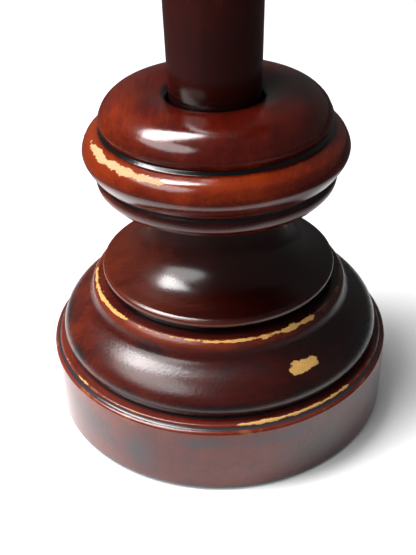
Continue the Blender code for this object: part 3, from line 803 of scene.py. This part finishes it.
@dataclass
class Foot:
    """Felt, plinth, ogee board, dish with its neck, and knop."""

    plinth_radius: float = 120.0
    arris_inset: float = 4.4
    ogee_radius: float = 111.9
    ogee_arris_inset: float = 26.3
    rim_inset: float = 5.2
    rim_height: float = 10.6
    groove_depth: float = 3.4
    neck_radius: float = 43.0
    knop_radius: float = 86.1
    dome_inset: float = 11.7
    socket_radius: float = 30.9
    socket_depth: float = 18.0
    bore_radius: float = 5.3
    recess_radius: float = 15.0
    recess_depth: float = 16.0

    def build(self, finishes: Finishes) -> None:
        """Build and dress every piece of the foot."""
        self._felt(finishes)
        self._plinth(finishes)
        self._ogee(finishes)
        self._dish(finishes)
        self._knop(finishes)

    def _felt(self, finishes: Finishes) -> None:
        """Baize disc."""
        low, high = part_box("base_felt")
        rim, thick = high.x / MM, high.z / MM
        outline = eased([Station(0.0, thick), Station(rim, thick), Station(rim, low.z / MM),
                         Station(0.0, low.z / MM)], 0.4)
        fit(spun("felt_disc", outline), "base_felt", "stand", finishes.baize)

    def _plinth(self, finishes: Finishes) -> None:
        """Thick round board with a stepped top edge."""
        bottom, top = heights("plinth")
        edge = up_from(self.plinth_radius, top, [
            (0.0, -4.1, 0.0, 0.25, 0.3), (0.8, -2.9, 0.1, 0.3, 0.5), (3.0, -2.3, 0.8), (3.8, -1.5, 0.8),
            (self.arris_inset, 0.0, 0.0, 1.0, 0.6), (self.arris_inset + 1.4, 0.02, 0.5),
            (self.arris_inset + 7.0, 0.02, 1.0)])
        foot = [Station(self.plinth_radius, bottom + 0.8, 0.6),
                Station(self.plinth_radius - 0.8, bottom, 0.8)]
        inside = [Station(self.recess_radius, bottom, 0.8),
                  Station(self.recess_radius, bottom + self.recess_depth, 0.8),
                  Station(self.bore_radius, bottom + self.recess_depth, 0.8),
                  Station(self.bore_radius, top, 0.8)]
        chips = [Chip(6, 46, 115.4, 53.4, 1.0), Chip(-66, -40, 115.6, 53.4, 0.6, 0.5),
                 Chip(-38, -12, 115.6, 53.4, 0.6, 0.42)]
        smudges = [Smudge(-27, 24, 7, 24), Smudge(-48, 28, 16, 14), Smudge(-70, 34, 12, 10),
                   Smudge(-4, 42, 12, 5), Smudge(18, 42, 16, 5), Smudge(36, 26, 9, 14),
                   Smudge(66, 22, 14, 14), Smudge(140, 26, 24, 12)]
        fit(spun("plinth_board", filled(eased(edge + foot + inside)), 256, chips, smudges), "plinth",
            "stand", finishes.plinth)

    def _ogee(self, finishes: Finishes) -> None:
        """Second board: a torus, a cove and a sharp upper arris."""
        bottom, top = heights("base_ogee")
        rows = [(2.1, 1.0, 1.0), (0.0, 7.7, 0.35), (2.7, 15.0, 0.1), (9.3, 22.2), (18.3, 28.4, 0.2),
                (21.5, 32.6, 0.3, 0.0, 0.1), (23.5, 39.6, 0.0, 0.0, 0.8),
                (self.ogee_arris_inset, top - bottom - 0.2, 0.0, 1.0, 1.0)]
        outer = flowing(up_from(self.ogee_radius, bottom, rows))
        groove = self.ogee_radius - self.ogee_arris_inset - self.rim_inset - self.groove_depth
        outline = [Station(groove - 3.0, top, 1.0), Station(groove + 1.5, top, 0.6),
                   Station(self.ogee_radius - self.ogee_arris_inset - 1.3, top, 0.25), *outer,
                   Station(self.ogee_radius - 3.0, bottom, 1.0), Station(self.bore_radius, bottom, 1.0),
                   Station(self.bore_radius, top, 1.0)]
        arris = self.ogee_radius - self.ogee_arris_inset + 0.4
        height = top - 0.6
        chips = [Chip(-90, -46, arris, height, 1.2), Chip(-38, -6, arris, height, 0.7, 0.55),
                 Chip(-5, 17, arris, height - 0.2, 0.8), Chip(19, 43, arris + 0.2, height, 1.6),
                 Chip(28.5, 30, 102.4, 76.0, 2.0, 1.5), Chip(31, 34, 101.4, 77.0, 2.9, 1.6)]
        smudges = [Smudge(-60, 66, 13, 7), Smudge(-34, 60, 16, 6), Smudge(-30, 86, 9, 5),
                   Smudge(-82, 70, 10, 10), Smudge(-5, 62, 22, 4), Smudge(30, 62, 14, 4),
                   Smudge(44, 84, 8, 5), Smudge(66, 70, 12, 8), Smudge(150, 66, 20, 7)]
        fit(spun("ogee_board", filled(eased(outline)), 256, chips, smudges), "base_ogee", "stand",
            finishes.ogee)

    def _dish(self, finishes: Finishes) -> None:
        """Thin rim over a groove, and the shallow dish that sweeps up into the neck."""
        bottom, top = heights("dish_neck")
        rim = self.ogee_radius - self.ogee_arris_inset - self.rim_inset
        lip = rim - 2.2
        rise = top - bottom - self.rim_height
        sweep = [(0.0, 0.0, 0.1), (0.233, 0.040, 0.15), (0.517, 0.117), (0.773, 0.255), (0.915, 0.428),
                 (1.0, 0.652, 0.1), (1.0, 0.859, 0.5), (0.93, 1.0, 0.9)]
        neck = flowing([Station(lip + (self.neck_radius - lip) * across,
                                bottom + self.rim_height + rise * up, *rest)
                        for across, up, *rest in reversed(sweep)])
        # The thin stain on the rim's outer face is partly rubbed stain and partly painted light that
        # lightens a face turned down, away from the lamps.
        edge = flowing([neck[-1], Station(rim - 0.4, bottom + 9.4, 0.0, 0.3, 0.8),
                        Station(rim, bottom + 7.4, 0.0, 0.0, 1.0),
                        Station(rim - 0.3, bottom + 5.6, 0.0, 0.0, 1.0),
                        Station(rim - 1.8, bottom + 4.2, 0.1, 0.0, 1.0)], 5)[1:]
        groove = [Station(rim - self.groove_depth, bottom + 3.6, 0.5),
                  Station(rim - self.groove_depth - 0.2, bottom, 1.0)]
        bore = [Station(self.bore_radius, bottom, 1.0), Station(self.bore_radius, top, 1.0)]
        fit(spun("dish_and_neck", filled(eased(neck + edge + groove + bore))), "dish_neck", "stand",
            finishes.dish)

    def _knop(self, finishes: Finishes) -> None:
        """Fat turning: a small ovolo, the main torus, and a dome with a socket for the column."""
        bottom, top = heights("knop")
        shoulder = self.knop_radius - self.dome_inset
        socket = self.socket_radius
        floor = top - self.socket_depth
        # The glaze on the dome's lower curve, above its shoulder, is painted shade where the dome turns
        # away from the light above; the glaze at the socket's lip and in the quirk under the shoulder is
        # settled glaze.
        dome = flowing([Station(socket + 2.2, top - 3.4, 0.85), Station(socket + 9.0, top - 1.2, 0.15),
                        Station(socket + 18.0, top), Station(shoulder - 12.5, top - 2.1),
                        Station(shoulder - 4.4, top - 7.8), Station(shoulder - 0.5, top - 14.5, 0.25),
                        Station(shoulder, top - 18.2, 0.1), Station(shoulder - 1.6, top - 22.4, 0.5)])
        torus = flowing(up_from(self.knop_radius, bottom, [
            (6.6, 14.0, 0.7), (3.7, 17.7, 0.2), (0.4, 24.0, 0.0, 0.0, 0.1),
            (0.2, 28.9, 0.0, 0.0, 0.3), (3.5, 35.5, 0.0, 0.0, 0.65), (8.5, 38.6, 0.1, 0.0, 0.5),
            (11.5, 39.3, 0.5)]))
        ovolo = flowing(up_from(self.knop_radius, bottom, [
            (10.6, 0.4, 0.2, 0.2, 0.2), (7.8, 4.2, 0.3), (7.0, 9.4, 0.5), (8.2, 12.6, 1.0)]))
        inside = [Station(self.bore_radius, bottom, 1.0), Station(self.bore_radius, floor, 1.0),
                  Station(socket, floor, 1.0), Station(socket, top - 6.0, 1.0)]
        chips = [Chip(-70, -55, 80.2, 203.8, 2.0), Chip(-58, -36, 80.9, 203.4, 2.3),
                 Chip(-38, -24, 81.9, 202.6, 1.7)]
        fit(spun("knop_turning", filled(eased(dome + torus + ovolo + inside)), 256, chips), "knop",
            "stand", finishes.knop)


@dataclass
class Column:
    """The shaft, and the tie rod inside it."""

    foot_radius: float = 29.3
    belly_radius: float = 32.2
    waist_radius: float = 19.2
    ring_radius: float = 24.5
    cap_radius: float = 33.0
    cap_thickness: float = 7.0
    waist_drop: float = 36.0
    bore_radius: float = 5.3
    thread_pitch: float = 1.25
    thread_turns: int = 10
    thread_depth: float = 0.55
    rod_chamfer: float = 0.8

    def build(self, finishes: Finishes) -> None:
        """Build the shaft and dress the rod."""
        bottom, top = heights("shaft")
        knop_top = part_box("knop")[1].z / MM
        waist = top - self.waist_drop
        length = waist - knop_top
        cap_bottom = top - self.cap_thickness
        cap = [Station(self.cap_radius - 1.0, top), Station(self.cap_radius, top - 1.0),
               Station(self.cap_radius, cap_bottom + 1.0), Station(self.cap_radius - 1.0, cap_bottom)]
        hollow = flowing([Station(self.cap_radius - 2.0, cap_bottom - 0.8, 0.6),
                          Station(self.waist_radius + 5.0, cap_bottom - 6.0),
                          Station(self.waist_radius + 1.0, cap_bottom - 14.5, 0.7)])
        ring = arc((self.ring_radius - 4.2, waist + 7.5), 4.2, 75, -75, 12)
        vase = flowing([Station(self.waist_radius, waist, 0.7),
                        Station(self.waist_radius + 2.2, waist - 16.0),
                        Station(self.belly_radius - 4.0, waist - 54.0),
                        Station(self.belly_radius, knop_top + 0.60 * length),
                        Station(self.foot_radius + 1.2, knop_top + 0.23 * length),
                        Station(self.foot_radius, knop_top - 8.0, 0.9)], 14)
        foot = [Station(self.foot_radius, bottom + 0.8, 1.0), Station(self.foot_radius - 0.8, bottom, 1.0)]
        inside = [Station(self.bore_radius, bottom, 1.0), Station(self.bore_radius, top, 1.0)]
        fit(spun("column_shaft", filled(eased(cap + hollow + ring + vase + foot + inside)), 200),
            "shaft", "stand", finishes.shaft)
        self._rod(finishes)

    def _rod(self, finishes: Finishes) -> None:
        """Rod with rings for threads at its ends, and a washer and a chamfered nut at each."""
        low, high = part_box("tie_rod")
        radius, top, bottom = high.x / MM, high.z / MM, low.z / MM
        points = [(radius - (self.thread_depth if i % 2 else 0.0),
                   self.rod_chamfer + i * self.thread_pitch / 2) for i in range(2 * self.thread_turns)]
        upper = [Station(across, top - along) for across, along in points]
        lower = [Station(across, bottom + along) for across, along in reversed(points)]
        neck = radius - self.rod_chamfer
        rod = [Station(0.0, top), Station(neck, top), *upper, *lower, Station(neck, bottom),
               Station(0.0, bottom)]
        fit(spun("threaded_rod", rod, 32), "tie_rod", "stand", finishes.steel)
        for end in ("bottom", "top"):
            fit_softened([Fitting("washer_" + end, "rod_washer_" + end, 0.2),
                          Fitting("nut_" + end, "rod_nut_" + end, 0.6)], "stand",
                         finishes.steel)


class Fitting(NamedTuple):
    """A piece made by rounding a CAD node's edges: its name, its node and the width in millimetres."""

    piece: str
    node: str
    width: float


def fit_softened(fittings: Sequence[Fitting], body: str,
                 material: Material) -> None:
    """Round, dress and place several fittings of one body and one finish."""
    for fitting in fittings:
        piece = softened(fitting.piece, fitting.node, fitting.width)
        fit(piece, fitting.node, body, material)


@dataclass
class PivotBlock:
    """The block on the column, with the keep plate and its screws."""

    edge: float = 1.2

    def build(self, finishes: Finishes) -> None:
        """Build and dress the block and the keep."""
        fit_softened([Fitting("tilt_block", "pivot_block", self.edge)], "stand",
                     finishes.block)
        keep = [Fitting("keep_plate", "catch_keep", 0.25)]
        keep += [Fitting(f"keep_fixing_{number}", f"keep_screw_{number}", 0.12) for number in (1, 2)]
        fit_softened(keep, "stand", finishes.brass)


@dataclass
class RoundTop:
    """The top, its bearers, their pins and screws."""

    radius: float = 215.0
    step_inset: float = 10.0
    ovolo_radius: float = 9.0
    cavetto_radius: float = 6.0
    bearer_edge: float = 0.8

    def build(self, finishes: Finishes) -> None:
        """Build and dress the top and what is fixed under it."""
        bottom, top = heights("table_top")
        ovolo = arc((self.radius - self.ovolo_radius, top - 10.2), self.ovolo_radius, 90, 0, 14)
        cavetto = arc((self.radius, bottom), self.cavetto_radius, 90, 180, 10)
        inset = self.radius - self.step_inset
        outline = [Station(0.0, top), Station(inset - 0.6, top), Station(inset, top - 0.6),
                   Station(inset, top - 1.2, 0.9), *ovolo, *cavetto, Station(0.0, bottom)]
        fit(spun("round_top", filled(eased(outline), 8.0), 256), "table_top", "top",
            finishes.top)
        for side in ("left", "right"):
            fit_softened([Fitting(f"rail_{side}", f"bearer_{side}", self.bearer_edge)], "top",
                         finishes.bearer)
            fit_softened([Fitting(f"tilt_pin_{side}", f"pivot_pin_{side}", 0.4)], "top",
                         finishes.steel)
            screws = [Fitting(f"rail_fixing_{side}_{number}", f"bearer_screw_{side}_{number}", 0.2)
                      for number in (1, 2, 3)]
            fit_softened(screws, "top", finishes.brass)


@dataclass
class SpringCatch:
    """The brass catch under the front of the top.

    Args:
        travel: how far the bolt draws back, in millimetres; not used.
        stem_radius: radius of the finger knob's stem, in millimetres.
    """

    travel: float = 6.0
    stem_radius: float = 2.0

    def build(self, finishes: Finishes) -> None:
        """Build and dress the catch."""
        fixed = [Fitting("latch_plate", "catch_plate", 0.3), Fitting("latch_case", "catch_case", 0.4)]
        fixed += [Fitting(f"latch_fixing_{number}", f"catch_screw_{number}", 0.15)
                  for number in (1, 2, 3, 4)]
        fit_softened(fixed, "top", finishes.brass)
        fit_softened([Fitting("latch_bolt", "catch_bolt", 0.25)], "catch", finishes.brass)
        self._knob(finishes)
        self._spring(finishes)

    def _spring(self, finishes: Finishes) -> None:
        """Coil spring, copied from its CAD node and kept on a mesh of its own."""
        spring = softened("coil_spring", "catch_spring", 0.0)
        fit(spring, "catch_spring", "top", finishes.steel)
        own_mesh(spring)

    def _knob(self, finishes: Finishes) -> None:
        """Turned finger knob with a waisted stem."""
        low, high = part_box("catch_knob")
        middle = (low + high) / 2
        top, bottom, radius = high.z / MM, low.z / MM, (high.x - low.x) / 2 / MM
        stem = self.stem_radius
        head = flowing([Station(stem + 1.2, bottom + 9.8), Station(radius - 2.0, bottom + 9.2),
                        Station(radius - 0.1, bottom + 7.4), Station(radius - 1.0, bottom + 4.0),
                        Station(stem + 2.2, bottom + 0.9), Station(0.0, bottom)])
        outline = [Station(0.0, top), Station(stem, top), Station(stem, bottom + 10.0), *head]
        place = Matrix.Translation((middle.x, middle.y, 0.0))
        fit(spun("finger_knob", eased(outline, 0.3), 48, place=place), "catch_knob", "catch",
            finishes.brass)


# ---- The studio ----

@dataclass
class Studio:
    """Pale floor, soft lights and the camera.

    Args:
        camera_place: where the camera stands, in metres.
        yaw, pitch, roll: how it is turned, in radians.
        lens: its focal length, in millimetres.
        floor_size: half the floor's side, in metres.
        footprint: radius of the floor that the table covers, in metres.
    """

    camera_place: Vector = field(default_factory=lambda: Vector((0.0, -0.5001, 0.4222)))
    yaw: float = -0.01497
    pitch: float = 0.59
    roll: float = -0.02704
    lens: float = 54.6
    floor_size: float = 9.0
    footprint: float = 0.113

    def build(self) -> None:
        """Lay the floor, hang the lights and set the camera."""
        self._floor()
        self._lights()
        self._camera()

    def _floor(self) -> None:
        """White floor that meets the room far off, is dim in reflections, and is clear from below."""
        bm = bmesh.new()
        bmesh.ops.create_grid(bm, x_segments=8, y_segments=8, size=self.floor_size)
        floor = piece_from("studio_floor", bm)
        material, nodes, shader = new_material("pale_floor")
        place = nodes.place()
        path = nodes.add("LightPath").outputs
        forward = nodes.times(nodes.add("SeparateXYZ", {0: place}).outputs["Y"], -1.0)
        away = nodes.add("VectorMath", {0: place}, operation="LENGTH").outputs["Value"]
        dim = nodes.maths("MAXIMUM", nodes.between(forward, 0.15, 0.28),
                          nodes.between(away, 0.19, 0.36))
        dim = nodes.times(dim, path["Is Glossy Ray"])
        colour = nodes.blend(dim, (0.86, 0.86, 0.87, 1.0), (0.03, 0.03, 0.03, 1.0))
        nodes.fill(shader, {"Base Color": colour})
        shader.inputs["Roughness"].default_value = 0.6
        far = nodes.times(nodes.between(away, 0.9, 2.3), path["Is Camera Ray"])
        glow = nodes.add("Emission", {"Color": ROOM_COLOUR, "Strength": ROOM_STRENGTH}).outputs[0]
        spread = nodes.add("MixShader", {0: far, 1: shader.outputs[0], 2: glow}).outputs[0]
        covered = nodes.between(away, self.footprint - MM, self.footprint, 1.0, 0.0)
        below = nodes.maths("MAXIMUM", nodes.add("NewGeometry").outputs["Backfacing"], covered)
        clear = nodes.add("BsdfTransparent").outputs[0]
        seen = nodes.add("MixShader", {0: below, 1: spread, 2: clear}).outputs[0]
        nodes.tree.links.new(seen, nodes.tree.nodes["Material Output"].inputs["Surface"])
        floor.data.materials.append(material)

    def _lights(self) -> None:
        """Tall window on the left, a skylight over it, a soft light behind, and a dim room."""
        skylight = self._panel("skylight", (-0.75, -0.03, 1.60), (0.0, 0.0, 0.15), (0.70, 1.25), 55.0)
        window = self._panel("window", (-1.15, -0.80, 1.30), (0.0, 0.0, 0.15), (1.75, 0.95), 26.0)
        back = self._panel("back", (0.35, 1.9, 1.35), (0.0, 0.0, 0.2), (1.7, 1.0), 7.0)
        back.visible_glossy = False
        self._pass_under_top(skylight)
        self._pass_under_top(window)
        world = bpy.data.worlds.new("room")
        bpy.context.scene.world = world
        world.use_nodes = True
        nodes = Nodes(world.node_tree)
        background = world.node_tree.nodes["Background"]
        path = nodes.add("LightPath").outputs
        ambient = nodes.maths("MULTIPLY_ADD", path["Is Diffuse Ray"], ROOM_AMBIENT, ROOM_REFLECTED)
        strength = nodes.maths("MULTIPLY_ADD", path["Is Camera Ray"], ROOM_STRENGTH - ROOM_REFLECTED,
                               ambient)
        nodes.fill(background, {"Color": ROOM_COLOUR, "Strength": strength})

    @staticmethod
    def _pass_under_top(light: Object) -> None:
        """Let a light through the top and what is under it, so that it reaches the column."""
        held = bpy.data.collections.new("lit_through")
        for thing in bpy.context.scene.objects:
            if thing.type == "MESH" and thing.get("over_the_column"):
                held.objects.link(thing)
        for link in held.collection_objects:
            link.light_linking.link_state = "EXCLUDE"
        light.light_linking.blocker_collection = held

    @staticmethod
    def _panel(name: str, place: Sequence[float], aim: Sequence[float], size: Sequence[float],
               power: float) -> Object:
        """Hang one soft oval light.

        Args:
            name: its name.
            place: where it hangs.
            aim: the point that it faces.
            size: its width and height.
            power: its power in watts.

        Returns:
            The light.
        """
        data = bpy.data.lights.new(name, "AREA")
        data.shape = "ELLIPSE"
        data.size, data.size_y = size
        data.energy = power
        light = bpy.data.objects.new(name, data)
        light.visible_camera = False
        away = Vector(place) - Vector(aim)
        light.matrix_world = Matrix.Translation(place) @ away.to_track_quat("Z", "Y").to_matrix().to_4x4()
        bpy.context.scene.collection.objects.link(light)
        return light

    def _camera(self) -> None:
        """Camera close in front of the foot, looking down on it."""
        forward = Vector((math.sin(self.yaw) * math.cos(self.pitch),
                          math.cos(self.yaw) * math.cos(self.pitch), -math.sin(self.pitch)))
        level = Vector((math.cos(self.yaw), -math.sin(self.yaw), 0.0))
        upright = level.cross(forward)
        right = level * math.cos(self.roll) + upright * math.sin(self.roll)
        up = upright * math.cos(self.roll) - level * math.sin(self.roll)
        data = bpy.data.cameras.new("camera")
        data.lens = self.lens
        data.clip_start, data.clip_end = 0.02, 60.0
        camera = bpy.data.objects.new("camera", data)
        turn = Matrix((right, up, -forward)).transposed().to_4x4()
        camera.matrix_world = Matrix.Translation(self.camera_place) @ turn
        bpy.context.scene.collection.objects.link(camera)
        bpy.context.scene.camera = camera


def main() -> None:
    """Build the table and the studio round it."""
    logging.basicConfig(level=logging.INFO, format="%(name)s: %(message)s")
    bpy.context.scene.view_settings.view_transform = "Standard"
    finishes = Finishes()
    for part in (Foot(), Column(), PivotBlock(), RoundTop(), SpringCatch()):
        part.build(finishes)
    Studio().build()
    bpy.context.view_layer.update()


if __name__ == "__main__":
    main()
